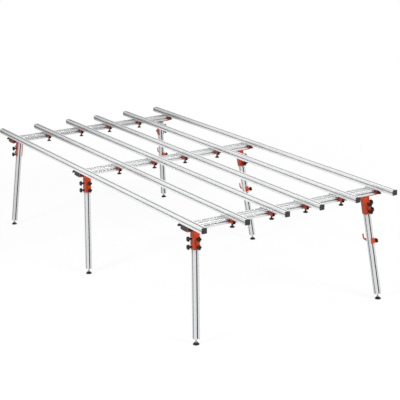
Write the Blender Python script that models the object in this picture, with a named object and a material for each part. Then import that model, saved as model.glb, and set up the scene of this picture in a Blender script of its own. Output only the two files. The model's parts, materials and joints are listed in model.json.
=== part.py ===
"""Tile work table: six slotted aluminium rails on three crossbeams, six splayed legs in orange sockets,
levelling feet, and a clamp wherever a rail crosses a crossbeam. Metres, +Z up, +X along the rails, origin on
the floor below the middle of the table."""

import math

import bmesh
import bpy
from mathutils import Matrix, Vector
from mathutils.geometry import tessellate_polygon

# Driving dimensions
TABLE_LENGTH = 3.200
TABLE_HEIGHT = 0.776
CROSSBEAM_LENGTH = 1.430
CROSSBEAM_WIDTH = 0.072
PROFILE = 0.036
FAR_OVERHANG = 0.207
NEAR_OVERHANG = 0.226
MIDDLE_CROSSBEAM_X = -0.142
OUTER_RAIL_INSET = 0.013
INNER_RAIL_Y = (-0.405, -0.120, 0.135, 0.410)
SOCKET_INSET = 0.0795
LEG_LEAN_X = math.radians(6.9)
LEG_LEAN_Y = math.radians(4.9)
HOOK_DROP = 0.312
MEETING_GAP = 0.0003
FLAT_ANGLE = math.radians(0.1)

# Slots of the extruded profiles
SLOT_MOUTH = 0.008
SLOT_LIP = 0.0045
SLOT_WIDTH = 0.018
SLOT_FLOOR = 0.010
SLOT_DEPTH = 0.0105
EDGE_CHAMFER = 0.0012
BORE_RADIUS = 0.0048

# End caps and the bars that join the rail halves
CAP_THICKNESS = 0.003
CAP_INSET = 0.0004
CAP_ROOT = 0.001
JOINER_LENGTH = 0.180
JOINER_RECESS = 0.0012
JOINER_ROOT = 0.0006

# Leg sockets
SOCKET_WALL = 0.004
SOCKET_CLEARANCE = 0.0006
SOCKET_HEIGHT = 0.128
SOCKET_CORNER = 0.010
SOCKET_PLATE = 0.004
PLATE_INBOARD = 0.040
PLATE_OUTBOARD = 0.074
PLATE_CORNER = 0.008
SOCKET_KNOB_DROPS = (0.061, 0.110)
BOLT_HEAD_RADIUS = 0.0065
BOLT_HEAD = 0.0045
BOLT_INBOARD = 0.031
BOLT_OUTBOARD = 0.060
BOLT_SIDES = 6

# Star knobs
KNOB_RADIUS = 0.0168
KNOB_LOBE = 0.0035
KNOB_FACE_RADIUS = 0.0138
KNOB_RIM = 0.008
KNOB_NECK_RADIUS = 0.0060
KNOB_NECK_LENGTH = 0.012
KNOB_STUD_RADIUS = 0.0033
KNOB_LENGTH = 0.032
KNOB_SIDES = 8

# Sliding nuts in the slots
NUT_THICKNESS = 0.0034
NUT_WIDTH = 0.0108
NUT_LENGTH = 0.013

# Rail clamps
CLAMP_BLOCK_WIDTH = 0.020
CLAMP_BLOCK_HEIGHT = 0.034
CLAMP_BLOCK_LENGTH = 0.034
CLAMP_BLOCK_START = 0.004
CLAMP_WALL = 0.0025
CLAMP_TONGUE = 0.045
CLAMP_TONGUE_ROOT = 0.020
CLAMP_TONGUE_TIP = 0.008
CLAMP_NOSE = 0.0035
CLAMP_NOSE_HEIGHT = 0.006
CLAMP_STUD_OFFSET = 0.015
HANGING_FACE = -0.058
HANGING_NECK = -0.047
HANGING_NECK_RADIUS = 0.0058
JAW_REACH = 0.032
JAW_THICKNESS = 0.0035
JAW_WIDTH = 0.016
SIDE_BLOCK_LENGTH = 0.014
TEE_NECK = -0.011
TEE_FACE = -0.025
TEE_RADIUS = 0.0155
TEE_NECK_RADIUS = 0.0045
TEE_SIDES = 6

# Legs, feet and hooks
LEG_TOP_GAP = 0.012
STUD_SHOWN = 0.022
STUD_RADIUS = 0.004
STUD_HELD = 0.040
STUD_SIDES = 8
HEX_RADIUS = 0.0075
HEX_HEIGHT = 0.006
HEX_RISE = 0.003
HEX_SIDES = 6
ANKLE_HEIGHT = 0.012
PAD_RADIUS = 0.0205
PAD_RIM = 0.004
PAD_SHOULDER = 0.0125
PAD_SIDES = 12
HOOK_WALL = 0.003
HOOK_HEIGHT = 0.036
HOOK_TAB = 0.030
HOOK_REACH = 0.064
HOOK_ARM_RISE = 0.006
HOOK_ROOT = 0.024
HOOK_TIP = 0.011
HOOK_TURN = 0.030
HOOK_PLATE = 0.005
HOOK_KNOB_DROP = 0.011
HOLE_CLEARANCE = 0.0008

ALUMINIUM = ("aluminium", (0.80, 0.81, 0.82), 0.38, 0.85)
PALE_ALUMINIUM = ("leg_aluminium", (0.74, 0.75, 0.77), 0.40, 0.85)
ORANGE = ("orange_paint", (0.80, 0.17, 0.05), 0.42, 0.0)
BLACK = ("black_plastic", (0.012, 0.012, 0.013), 0.50, 0.0)
CAP_GREY = ("cap_plastic", (0.065, 0.065, 0.068), 0.55, 0.0)

OUTER_RAIL_Y = CROSSBEAM_LENGTH / 2 - OUTER_RAIL_INSET
RAIL_Y = (-OUTER_RAIL_Y, *INNER_RAIL_Y, OUTER_RAIL_Y)
CROSSBEAM_X = (FAR_OVERHANG - TABLE_LENGTH / 2, MIDDLE_CROSSBEAM_X, TABLE_LENGTH / 2 - NEAR_OVERHANG)
SOCKET_Y = CROSSBEAM_LENGTH / 2 - SOCKET_INSET
RAIL_BOTTOM = TABLE_HEIGHT - PROFILE
CROSSBEAM_TOP = RAIL_BOTTOM - MEETING_GAP
CROSSBEAM_BOTTOM = CROSSBEAM_TOP - PROFILE
PLATE_TOP = CROSSBEAM_BOTTOM - MEETING_GAP
PLATE_BOTTOM = PLATE_TOP - SOCKET_PLATE
RAIL_END = TABLE_LENGTH / 2 - CAP_THICKNESS


def material(look):
    """The Principled material of a named look, made once."""
    name, colour, roughness, metallic = look
    found = bpy.data.materials.get(name)
    if found:
        return found
    made = bpy.data.materials.new(name)
    made.use_nodes = True
    made.diffuse_color = (*colour, 1.0)
    shader = made.node_tree.nodes["Principled BSDF"]
    shader.inputs["Base Color"].default_value = (*colour, 1.0)
    shader.inputs["Roughness"].default_value = roughness
    shader.inputs["Metallic"].default_value = metallic
    return made


def side_points(length, chamfer, slot_centres):
    """One side of a profile as (along, inward) pairs: a chamfer's end, each slot, and the next chamfer's
    start."""
    points = [(-length / 2 + chamfer, 0.0)]
    for centre in slot_centres:
        half_slot = (
            (SLOT_MOUTH / 2, 0.0),
            (SLOT_MOUTH / 2, SLOT_LIP),
            (SLOT_WIDTH / 2, SLOT_LIP),
            (SLOT_FLOOR / 2, SLOT_DEPTH),
        )
        points += [(centre - across, inward) for across, inward in half_slot]
        points += [(centre + across, inward) for across, inward in reversed(half_slot)]
    points.append((length / 2 - chamfer, 0.0))
    return points


def profile_outline(width, height, across_slots):
    """A slotted profile's outline, anticlockwise: slots at across_slots on top and bottom, and one on each
    side."""
    wide, narrow = (width, height, across_slots), (height, width, (0.0,))
    outline = []
    for turn, (length, depth, slots) in enumerate((wide, narrow, wide, narrow)):
        spin = Matrix.Rotation(turn * math.pi / 2, 2)
        for along, inward in side_points(length, EDGE_CHAMFER, slots):
            outline.append(tuple(spin @ Vector((along, inward - depth / 2))))
    return outline


def regular_outline(radius, sides):
    """A regular polygon about the middle, with a flat side facing each way."""
    steps = [(k + 0.5) * 2 * math.pi / sides for k in range(sides)]
    return [(radius * math.cos(a), radius * math.sin(a)) for a in steps]


def chamfered_outline(width, height, chamfer):
    """A rectangle about the middle with its four corners cut off."""
    a, b = width / 2, height / 2
    return [(-a + chamfer, -b), (a - chamfer, -b), (a, -b + chamfer), (a, b - chamfer),
            (a - chamfer, b), (-a + chamfer, b), (-a, b - chamfer), (-a, -b + chamfer)]


def rectangle(low, high):
    """The four corners between two opposite ones."""
    return [(low[0], low[1]), (high[0], low[1]), (high[0], high[1]), (low[0], high[1])]


def prism(loops, low, high, axis="Z"):
    """The first loop, with the others as holes, extruded from low to high along an axis. Along X a loop's
    pairs are (y, z), along Y they are (x, z), and along Z they are (x, y)."""
    shape = bmesh.new()
    flat = [[Vector((a, b, 0.0)) for a, b in loop] for loop in loops]
    corners = [shape.verts.new(point) for loop in flat for point in loop]
    faces = [shape.faces.new([corners[k] for k in triangle]) for triangle in tessellate_polygon(flat)]
    extruded = bmesh.ops.extrude_face_region(shape, geom=faces)
    bmesh.ops.translate(shape, verts=[v for v in extruded["geom"] if isinstance(v, bmesh.types.BMVert)],
                        vec=(0.0, 0.0, high - low))
    bmesh.ops.translate(shape, verts=shape.verts, vec=(0.0, 0.0, low))
    turns = {
        "X": Matrix(((0, 0, 1), (1, 0, 0), (0, 1, 0))),
        "Y": Matrix(((1, 0, 0), (0, 0, 1), (0, 1, 0))),
        "Z": Matrix.Identity(3),
    }
    bmesh.ops.transform(shape, matrix=turns[axis].to_4x4(), verts=shape.verts)
    bmesh.ops.recalc_face_normals(shape, faces=shape.faces)
    return shape


def box(low, high):
    """A box between two corners."""
    return prism([rectangle(low, high)], low[2], high[2])


def turned(rings, sides):
    """A solid about Z through rings of (radius, height, lobe): every second corner of a ring is drawn in by
    lobe."""
    shape = bmesh.new()
    circles = []
    for radius, height, lobe in rings:
        angles = [2 * math.pi * k / sides for k in range(sides)]
        radii = [radius - lobe * (k % 2) for k in range(sides)]
        circle = [shape.verts.new((r * math.cos(a), r * math.sin(a), height)) for r, a in zip(radii, angles)]
        circles.append(circle)
    for lower, upper in zip(circles, circles[1:]):
        for k in range(sides):
            following = (k + 1) % sides
            shape.faces.new((lower[k], lower[following], upper[following], upper[k]))
    shape.faces.new(circles[0])
    shape.faces.new(circles[-1])
    bmesh.ops.recalc_face_normals(shape, faces=shape.faces)
    return shape


def moved(shape, matrix):
    """The shape after a matrix."""
    bmesh.ops.transform(shape, matrix=matrix, verts=shape.verts)
    return shape


def aimed(shape, direction, start):
    """The shape with its +Z turned to a direction, and its origin carried to start."""
    turn = Vector((0.0, 0.0, 1.0)).rotation_difference(Vector(direction)).to_matrix().to_4x4()
    return moved(shape, Matrix.Translation(start) @ turn)


def new_object(name, shape, look):
    """An object that holds a shape and wears a look."""
    mesh = bpy.data.meshes.new(name)
    shape.to_mesh(mesh)
    shape.free()
    mesh.materials.append(material(look))
    made = bpy.data.objects.new(name, mesh)
    bpy.context.scene.collection.objects.link(made)
    return made


def merge_flat_faces(mesh):
    """Join the slivers that a Boolean leaves in a flat face, within each material."""
    shape = bmesh.new()
    shape.from_mesh(mesh)
    bmesh.ops.dissolve_limit(shape, angle_limit=FLAT_ANGLE, verts=shape.verts, edges=shape.edges,
                             delimit={"MATERIAL"})
    shape.to_mesh(mesh)
    shape.free()


def joined(name, pieces, cutters=()):
    """One mesh from (shape, look) pairs joined by Booleans, less the cutters, which come off the first."""
    base = new_object(name, *pieces[0])
    helpers = [("DIFFERENCE", new_object("cutter", shape, pieces[0][1])) for shape in cutters]
    helpers += [("UNION", new_object("piece", shape, look)) for shape, look in pieces[1:]]
    for operation, helper in helpers:
        modifier = base.modifiers.new("shape", "BOOLEAN")
        modifier.operation = operation
        modifier.object = helper
        modifier.material_mode = "TRANSFER"
    evaluated = base.evaluated_get(bpy.context.evaluated_depsgraph_get())
    mesh = bpy.data.meshes.new_from_object(evaluated)
    mesh.name = name
    merge_flat_faces(mesh)
    for made in [base] + [helper for _, helper in helpers]:
        bpy.data.objects.remove(made)
    return mesh


def place(name, mesh, location, rotation=None):
    """A named sub-part from a mesh, at its place."""
    made = bpy.data.objects.new(name, mesh)
    made.location = location
    if rotation:
        made.rotation_euler = rotation.to_euler()
    bpy.context.scene.collection.objects.link(made)
    return made


def leg_direction(side_x, side_y):
    """The unit vector down a leg, which leans outwards to side_x and side_y."""
    return Vector((side_x * math.tan(LEG_LEAN_X), side_y * math.tan(LEG_LEAN_Y), -1.0)).normalized()


def leg_turn(side_x, side_y):
    """The turn from upright to a leg's own frame: its Z runs up the leg."""
    up = -leg_direction(side_x, side_y)
    across = Vector((0.0, 1.0, 0.0)).cross(up).normalized()
    return Matrix((across, up.cross(across), up)).transposed()


def knob_rings(tip, seat):
    """A star knob's rings along its stud: tip is the stud's inner end, and the neck bears on seat."""
    return [
        (KNOB_STUD_RADIUS, tip, 0.0),
        (KNOB_STUD_RADIUS, seat, 0.0),
        (KNOB_NECK_RADIUS, seat, 0.0),
        (KNOB_NECK_RADIUS, seat + KNOB_NECK_LENGTH, 0.0),
        (KNOB_RADIUS, seat + KNOB_LENGTH - KNOB_RIM, KNOB_LOBE),
        (KNOB_FACE_RADIUS, seat + KNOB_LENGTH, KNOB_LOBE),
    ]


def rail_half_mesh(name, side):
    """Half a rail with its end cap, its joint end at X = 0 and its cap towards side."""
    start, end = MEETING_GAP / 2, RAIL_END
    outline = profile_outline(PROFILE, PROFILE, (0.0,))
    low, high = sorted((side * start, side * end))
    pieces = [(prism([outline], low, high, "X"), ALUMINIUM)]
    cap_reach = PROFILE / 2 - CAP_INSET
    cap = rectangle((-cap_reach, -cap_reach), (cap_reach, cap_reach))
    low, high = sorted((side * (end - CAP_ROOT), side * (end + CAP_THICKNESS)))
    pieces.append((prism([cap], low, high, "X"), CAP_GREY))
    if side < 0:
        pieces += [(joiner_bar(-1), ALUMINIUM), (joiner_bar(1), ALUMINIUM)]
    return joined(name, pieces)


def joiner_bar(side):
    """A bar in a side slot across the joint: it is set in the far half's slot floor and slides in the near
    half's."""
    face = PROFILE / 2 - JOINER_RECESS
    floor = PROFILE / 2 - SLOT_DEPTH
    root = floor - JOINER_ROOT
    half = JOINER_LENGTH / 2
    outline = [(-half, face), (-half, root), (-MEETING_GAP, root), (-MEETING_GAP, floor + MEETING_GAP),
               (half, floor + MEETING_GAP), (half, face)]
    half_height = SLOT_MOUTH / 2 - MEETING_GAP
    return prism([[(x, side * y) for x, y in outline]], -half_height, half_height)


def crossbeam_mesh():
    """A wide slotted profile along Y with a cap on each end."""
    slot_offset = CROSSBEAM_WIDTH / 4
    outline = profile_outline(CROSSBEAM_WIDTH, PROFILE, (-slot_offset, slot_offset))
    end = CROSSBEAM_LENGTH / 2 - CAP_THICKNESS
    pieces = [(prism([outline], -end, end, "Y"), ALUMINIUM)]
    cap_corner = (CROSSBEAM_WIDTH / 2 - CAP_INSET, PROFILE / 2 - CAP_INSET)
    cap = rectangle((-cap_corner[0], -cap_corner[1]), cap_corner)
    for side in (-1, 1):
        low, high = sorted((side * (end - CAP_ROOT), side * (end + CAP_THICKNESS)))
        pieces.append((prism([cap], low, high, "Y"), CAP_GREY))
    return joined("crossbeam", pieces)


def channel_shape(side_x, side_y):
    """The socket's folded channel in the leg's frame: a web on the side_x face and a flange on each Y face.
    It runs up past the plate, where it is trimmed level."""
    inner = PROFILE / 2 + SOCKET_CLEARANCE
    outer = inner + SOCKET_WALL
    outline = [(-inner, -outer), (outer, -outer), (outer, outer), (-inner, outer),
               (-inner, inner), (inner, inner), (inner, -inner), (-inner, -inner)]
    outline = [(side_x * x, y) for x, y in outline]
    shape = prism([outline], -SOCKET_HEIGHT, PROFILE)
    return moved(shape, leg_turn(side_x, side_y).to_4x4())


def corner_cutters(side_x, side_y):
    """Wedges that take the lower corners off a socket's flanges, on the open side."""
    turn = leg_turn(side_x, side_y).to_4x4()
    open_edge = -side_x * (PROFILE / 2 + SOCKET_CLEARANCE)
    reach = side_x * SOCKET_CORNER
    below = -SOCKET_HEIGHT - SOCKET_CORNER
    outline = [(open_edge - reach, below), (open_edge + 2 * reach, below),
               (open_edge - reach, -SOCKET_HEIGHT + 2 * SOCKET_CORNER)]
    return [moved(prism([outline], -PROFILE, PROFILE, "Y"), turn)]


def socket_knobs(direction, side_x, side_y):
    """The star knobs through one wall of a socket, and the sliding nut that they share in the leg's slot."""
    wall = PROFILE / 2 + SOCKET_CLEARANCE + SOCKET_WALL
    nut_top = PROFILE / 2 - SLOT_LIP - MEETING_GAP
    rings = knob_rings(nut_top - NUT_THICKNESS / 2, wall - SOCKET_WALL / 2)
    pieces = []
    for drop in SOCKET_KNOB_DROPS:
        pieces.append((aimed(turned(rings, KNOB_SIDES), direction, (0.0, 0.0, -drop)), BLACK))
    upper, lower = -min(SOCKET_KNOB_DROPS) + NUT_LENGTH / 2, -max(SOCKET_KNOB_DROPS) - NUT_LENGTH / 2
    side = sum(direction)
    depths = sorted((side * nut_top, side * (nut_top - NUT_THICKNESS)))
    if direction[0]:
        nut = box((depths[0], -NUT_WIDTH / 2, lower), (depths[1], NUT_WIDTH / 2, upper))
    else:
        nut = box((-NUT_WIDTH / 2, depths[0], lower), (NUT_WIDTH / 2, depths[1], upper))
    pieces.append((nut, BLACK))
    return [(moved(shape, leg_turn(side_x, side_y).to_4x4()), look) for shape, look in pieces]


def socket_mesh(side_x, side_y):
    """A leg socket about the point where the leg's axis meets the crossbeam's underside: the channel, the
    level plate that bolts up under the crossbeam, its bolts, and two star knobs on each outer face."""
    top = PLATE_TOP - CROSSBEAM_BOTTOM
    bottom = PLATE_BOTTOM - CROSSBEAM_BOTTOM
    middle = (top + bottom) / 2
    trim = box((-PROFILE * 2, -PROFILE * 2, middle), (PROFILE * 2, PROFILE * 2, PROFILE * 3))
    pieces = [(channel_shape(side_x, side_y), ORANGE)]
    low, high = sorted((-side_y * PLATE_INBOARD, side_y * PLATE_OUTBOARD))
    plate = chamfered_outline(CROSSBEAM_WIDTH, high - low, PLATE_CORNER)
    plate = [(x, y + (low + high) / 2) for x, y in plate]
    pieces.append((prism([plate], bottom, top), ORANGE))
    nut_bottom = SLOT_LIP + MEETING_GAP
    bolt_rings = [
        (BOLT_HEAD_RADIUS, bottom - BOLT_HEAD, 0.0),
        (BOLT_HEAD_RADIUS, middle, 0.0),
        (KNOB_STUD_RADIUS, middle, 0.0),
        (KNOB_STUD_RADIUS, nut_bottom + NUT_THICKNESS / 2, 0.0),
    ]
    slot_x = CROSSBEAM_WIDTH / 4
    for x, y in ((-slot_x, -side_y * BOLT_INBOARD), (slot_x, side_y * BOLT_OUTBOARD)):
        pieces.append((moved(turned(bolt_rings, BOLT_SIDES), Matrix.Translation((x, y, 0.0))), BLACK))
        nut = box((x - NUT_WIDTH / 2, y - NUT_LENGTH / 2, nut_bottom),
                  (x + NUT_WIDTH / 2, y + NUT_LENGTH / 2, nut_bottom + NUT_THICKNESS))
        pieces.append((nut, BLACK))
    pieces += socket_knobs((side_x, 0.0, 0.0), side_x, side_y)
    pieces += socket_knobs((0.0, side_y, 0.0), side_x, side_y)
    return joined("leg_socket", pieces, [trim] + corner_cutters(side_x, side_y))


def flat_jaw(side, nose_drop):
    """A jaw under the rail on one side of a crossbeam: a plate out to the knob, bent down the crossbeam's
    side, with a nose in its side slot."""
    inner = CROSSBEAM_WIDTH / 2 + MEETING_GAP
    outer = CROSSBEAM_WIDTH / 2 + JAW_REACH + TEE_RADIUS / 2
    top = -MEETING_GAP
    nose_bottom = nose_drop - CLAMP_NOSE_HEIGHT / 2
    nose_end = CROSSBEAM_WIDTH / 2 - CLAMP_NOSE
    outline = [
        (nose_end, nose_bottom),
        (inner + JAW_THICKNESS, nose_bottom),
        (inner + JAW_THICKNESS, top - JAW_THICKNESS),
        (outer, top - JAW_THICKNESS),
        (outer, top),
        (inner, top),
        (inner, nose_bottom + CLAMP_NOSE_HEIGHT),
        (nose_end, nose_bottom + CLAMP_NOSE_HEIGHT),
    ]
    return [(prism([[(side * x, z) for x, z in outline]], -JAW_WIDTH / 2, JAW_WIDTH / 2, "Y"), BLACK)]


def side_block():
    """The orange block of an outer rail's clamp, between the crossbeam and the knob."""
    start = CROSSBEAM_WIDTH / 2 + JAW_THICKNESS / 2
    top = -MEETING_GAP - JAW_THICKNESS / 2
    half = CLAMP_BLOCK_WIDTH / 2
    return [(box((start, -half, -CLAMP_BLOCK_HEIGHT), (start + SIDE_BLOCK_LENGTH, half, top)), ORANGE)]


def tee_knob(side, stud_top):
    """The short knob straight under a rail: a tapered stem that flares into a flat star head."""
    rings = [
        (TEE_RADIUS, TEE_FACE, KNOB_LOBE),
        (TEE_NECK_RADIUS, TEE_NECK, 0.0),
        (KNOB_STUD_RADIUS, stud_top, 0.0),
    ]
    knob = turned(rings, TEE_SIDES)
    return [(moved(knob, Matrix.Translation((side * (CROSSBEAM_WIDTH / 2 + JAW_REACH), 0.0, 0.0))), BLACK)]


def clamp_block(nose_drop, stud_top):
    """The orange strap beside a crossbeam with its black tongue along the rail, and the star knob below."""
    start = CROSSBEAM_WIDTH / 2 + CLAMP_BLOCK_START
    end = start + CLAMP_BLOCK_LENGTH
    half = CLAMP_BLOCK_WIDTH / 2
    inner = half - CLAMP_WALL
    top, bottom = -MEETING_GAP, -CLAMP_BLOCK_HEIGHT
    floor = bottom + CLAMP_WALL
    strap = [(-half, top), (-half, bottom), (half, bottom), (half, top), (inner, top), (inner, floor),
             (-inner, floor), (-inner, top)]
    pieces = [(prism([strap], start, end, "X"), ORANGE)]
    tip = end + CLAMP_TONGUE
    nose_end = CROSSBEAM_WIDTH / 2 - CLAMP_NOSE
    nose_bottom = nose_drop - CLAMP_NOSE_HEIGHT / 2
    tongue = [(nose_end, nose_bottom), (start + CLAMP_WALL, nose_bottom),
              (end, top - CLAMP_TONGUE_ROOT), (tip, top - CLAMP_TONGUE_TIP), (tip, top),
              (start + CLAMP_WALL, top), (start + CLAMP_WALL, nose_bottom + CLAMP_NOSE_HEIGHT),
              (nose_end, nose_bottom + CLAMP_NOSE_HEIGHT)]
    half_tongue = half - CLAMP_WALL / 2
    pieces.append((prism([tongue], -half_tongue, half_tongue, "Y"), BLACK))
    rings = [
        (KNOB_RADIUS, HANGING_FACE, KNOB_LOBE),
        (HANGING_NECK_RADIUS, HANGING_NECK, 0.0),
        (KNOB_STUD_RADIUS, stud_top, 0.0),
    ]
    x = CROSSBEAM_WIDTH / 2 + CLAMP_STUD_OFFSET
    pieces.append((moved(turned(rings, KNOB_SIDES), Matrix.Translation((x, 0.0, 0.0))), BLACK))
    return pieces


def clamp_mesh(outer_rail):
    """The clamp set of one crossing, about the rail's underside over the crossbeam's middle: a slide strip in
    the rail's lower slot, a flat jaw and tee knob on the far side, and on the near side the orange block. On
    an outer rail the block has a tee knob, and on an inner rail a tongue and a hanging star knob."""
    strip_bottom = SLOT_LIP + MEETING_GAP
    strip_top = strip_bottom + NUT_THICKNESS
    stud_top = (strip_bottom + strip_top) / 2
    reach = CROSSBEAM_WIDTH / 2 + JAW_REACH + NUT_WIDTH
    pieces = [(box((-reach, -NUT_WIDTH / 2, strip_bottom), (reach, NUT_WIDTH / 2, strip_top)), BLACK)]
    nose_drop = -PROFILE / 2 - MEETING_GAP
    pieces += flat_jaw(-1, nose_drop)
    pieces += tee_knob(-1, stud_top)
    if outer_rail:
        pieces += flat_jaw(1, nose_drop)
        pieces += side_block()
        pieces += tee_knob(1, stud_top)
    else:
        pieces += clamp_block(nose_drop, stud_top)
    return joined("rail_clamp", pieces)


def leg_mesh():
    """A leg down its own axis from the socket's centre, with the bore that holds the foot's stud."""
    outline = profile_outline(PROFILE, PROFILE, (0.0,))
    bore = regular_outline(BORE_RADIUS, STUD_SIDES)
    length = leg_span() - STUD_SHOWN
    return joined("leg", [(prism([outline, bore], -length, -LEG_TOP_GAP), PALE_ALUMINIUM)])


def leg_span():
    """The distance down a leg's axis from the crossbeam's underside to the ankle."""
    return (CROSSBEAM_BOTTOM - ANKLE_HEIGHT) / -leg_direction(1, 1).z


def foot_mesh(side_x, side_y):
    """A levelling foot about its ankle: a flat round pad on the floor, and a stud with a hexagon that leans
    with the leg."""
    floor = -ANKLE_HEIGHT
    pad = turned([(PAD_RADIUS, floor, 0.0), (PAD_RADIUS, floor + PAD_RIM, 0.0), (PAD_SHOULDER, 0.0, 0.0),
                  (HEX_RADIUS, HEX_RISE, 0.0)], PAD_SIDES)
    turn = leg_turn(side_x, side_y).to_4x4()
    stud = turned([(STUD_RADIUS, -HEX_RISE, 0.0), (STUD_RADIUS, STUD_SHOWN + STUD_HELD, 0.0)], STUD_SIDES)
    hexagon = prism([regular_outline(HEX_RADIUS, HEX_SIDES)], 0.0, HEX_RISE + HEX_HEIGHT)
    return joined("foot", [(pad, BLACK), (moved(hexagon, turn), BLACK), (moved(stud, turn), CAP_GREY)])


def hook_mesh():
    """A hook in its leg's frame: a channel round the leg's back face, open to the front, and a tapered arm
    towards -X with a turned-up tip."""
    inner = PROFILE / 2 + SOCKET_CLEARANCE
    outer = inner + HOOK_WALL
    front = outer - HOOK_TAB
    outline = [(-outer, front), (-inner, front), (-inner, inner), (inner, inner), (inner, front),
               (outer, front), (outer, outer), (-outer, outer)]
    channel = prism([outline], -HOOK_HEIGHT / 2, HOOK_HEIGHT / 2)
    start = -(inner + HOOK_WALL / 2)
    end = -outer - HOOK_REACH
    top = HOOK_ARM_RISE
    arm = [(start, top), (start, top - HOOK_ROOT), (end + HOOK_TIP, top - HOOK_TIP),
           (end, top - HOOK_TIP / 2), (end, top + HOOK_TURN), (end + HOOK_TIP, top + HOOK_TURN),
           (end + HOOK_TIP, top)]
    plate = prism([arm], -HOOK_PLATE / 2, HOOK_PLATE / 2, "Y")
    plate = moved(plate, Matrix.Translation((0.0, front + HOOK_TAB / 2, 0.0)))
    hole_radius = KNOB_STUD_RADIUS + HOLE_CLEARANCE
    hole = aimed(turned([(hole_radius, 0.0, 0.0), (hole_radius, outer * 2, 0.0)], KNOB_SIDES),
                 (0.0, 1.0, 0.0), (0.0, 0.0, -HOOK_KNOB_DROP))
    return joined("hook", [(channel, ORANGE), (plate, ORANGE)], [hole])


def hook_knob_mesh():
    """A hook's star knob about its own axis, +Z out of the leg's back face. Its stud runs through the slot
    nut."""
    wall = PROFILE / 2 + SOCKET_CLEARANCE + HOOK_WALL
    tip = PROFILE / 2 - SLOT_LIP - NUT_THICKNESS
    return joined("hook_knob", [(turned(knob_rings(tip, wall + MEETING_GAP), KNOB_SIDES), BLACK)])


def hook_nut_mesh():
    """The bored nut that holds a hook in the leg's back slot, about the knob's axis."""
    top = PROFILE / 2 - SLOT_LIP - MEETING_GAP
    outline = rectangle((-NUT_WIDTH / 2, -NUT_LENGTH / 2), (NUT_WIDTH / 2, NUT_LENGTH / 2))
    bore = regular_outline(KNOB_STUD_RADIUS + HOLE_CLEARANCE, KNOB_SIDES)
    return joined("hook_slot_nut", [(prism([outline, bore], top - NUT_THICKNESS, top), BLACK)])


def build():
    """Every sub-part, at its place."""
    for old in list(bpy.data.objects):
        bpy.data.objects.remove(old)
    beam = crossbeam_mesh()
    sides_x = [-1 if x == min(CROSSBEAM_X) else 1 for x in CROSSBEAM_X]
    for number, x in enumerate(CROSSBEAM_X, 1):
        place(f"crossbeam_{number}", beam, (x, 0.0, CROSSBEAM_BOTTOM + PROFILE / 2))

    near_half = rail_half_mesh("rail_near", 1)
    far_half = rail_half_mesh("rail_far", -1)
    clamps = {True: clamp_mesh(True), False: clamp_mesh(False)}
    for number, y in enumerate(RAIL_Y, 1):
        outer_rail = y in (min(RAIL_Y), max(RAIL_Y))
        place(f"rail_{number}_near_half", near_half, (0.0, y, RAIL_BOTTOM + PROFILE / 2))
        place(f"rail_{number}_far_half", far_half, (0.0, y, RAIL_BOTTOM + PROFILE / 2))
        for crossing, x in enumerate(CROSSBEAM_X, 1):
            place(f"clamp_rail_{number}_crossbeam_{crossing}", clamps[outer_rail], (x, y, RAIL_BOTTOM))

    leg = leg_mesh()
    hook = hook_mesh()
    hook_knob = hook_knob_mesh()
    hook_nut = hook_nut_mesh()
    sockets, feet = {}, {}
    for number, (x, side_x) in enumerate(zip(CROSSBEAM_X, sides_x), 1):
        for word, side_y in (("front", -1), ("back", 1)):
            lean = (side_x, side_y)
            if lean not in sockets:
                sockets[lean] = socket_mesh(*lean)
                feet[lean] = foot_mesh(*lean)
            top = Vector((x, side_y * SOCKET_Y, CROSSBEAM_BOTTOM))
            turn = leg_turn(*lean)
            place(f"leg_socket_{number}_{word}", sockets[lean], top)
            place(f"leg_{number}_{word}", leg, top, turn)
            place(f"foot_{number}_{word}", feet[lean], top + leg_direction(*lean) * leg_span())
            if side_y > 0:
                centre = top + leg_direction(*lean) * HOOK_DROP
                place(f"hook_{number}", hook, centre, turn)
                outward = turn @ Matrix.Rotation(-math.pi / 2, 3, "X")
                knob_place = centre + turn @ Vector((0.0, 0.0, -HOOK_KNOB_DROP))
                place(f"hook_{number}_knob", hook_knob, knob_place, outward)
                place(f"hook_{number}_slot_nut", hook_nut, knob_place, outward)


build()
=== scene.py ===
import json
import math

import bmesh
import bpy
import numpy as np
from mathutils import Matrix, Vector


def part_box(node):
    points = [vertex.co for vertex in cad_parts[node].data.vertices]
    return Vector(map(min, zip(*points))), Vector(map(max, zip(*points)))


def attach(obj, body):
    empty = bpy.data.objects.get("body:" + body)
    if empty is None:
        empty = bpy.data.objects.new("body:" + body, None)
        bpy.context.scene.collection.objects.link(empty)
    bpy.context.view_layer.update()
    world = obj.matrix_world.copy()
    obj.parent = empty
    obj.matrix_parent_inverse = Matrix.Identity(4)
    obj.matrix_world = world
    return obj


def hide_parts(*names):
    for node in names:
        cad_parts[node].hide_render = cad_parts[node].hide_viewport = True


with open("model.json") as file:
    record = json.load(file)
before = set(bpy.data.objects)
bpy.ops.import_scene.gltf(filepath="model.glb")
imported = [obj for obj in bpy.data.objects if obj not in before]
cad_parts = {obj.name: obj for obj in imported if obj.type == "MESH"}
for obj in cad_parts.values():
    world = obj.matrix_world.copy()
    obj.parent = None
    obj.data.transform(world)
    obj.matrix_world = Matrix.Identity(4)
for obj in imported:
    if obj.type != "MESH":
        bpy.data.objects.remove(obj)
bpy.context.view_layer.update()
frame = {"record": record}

# The looks of the tile work table: every piece is a grid surface or a profile carried along a path, worked out with
# numpy and put where the frame's nodes and joint axes are. Metres throughout.

# Sizes that the frame does not state
PROFILE = 0.036
CROSSBEAM_WIDTH = 0.072
SOCKET_Y = 0.6355
HOOK_DROP = 0.312
HOOK_KNOB_DROP = 0.011
ANKLE_HEIGHT = 0.012
MEETING_GAP = 0.0003
CAP_THICKNESS = 0.003

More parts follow.
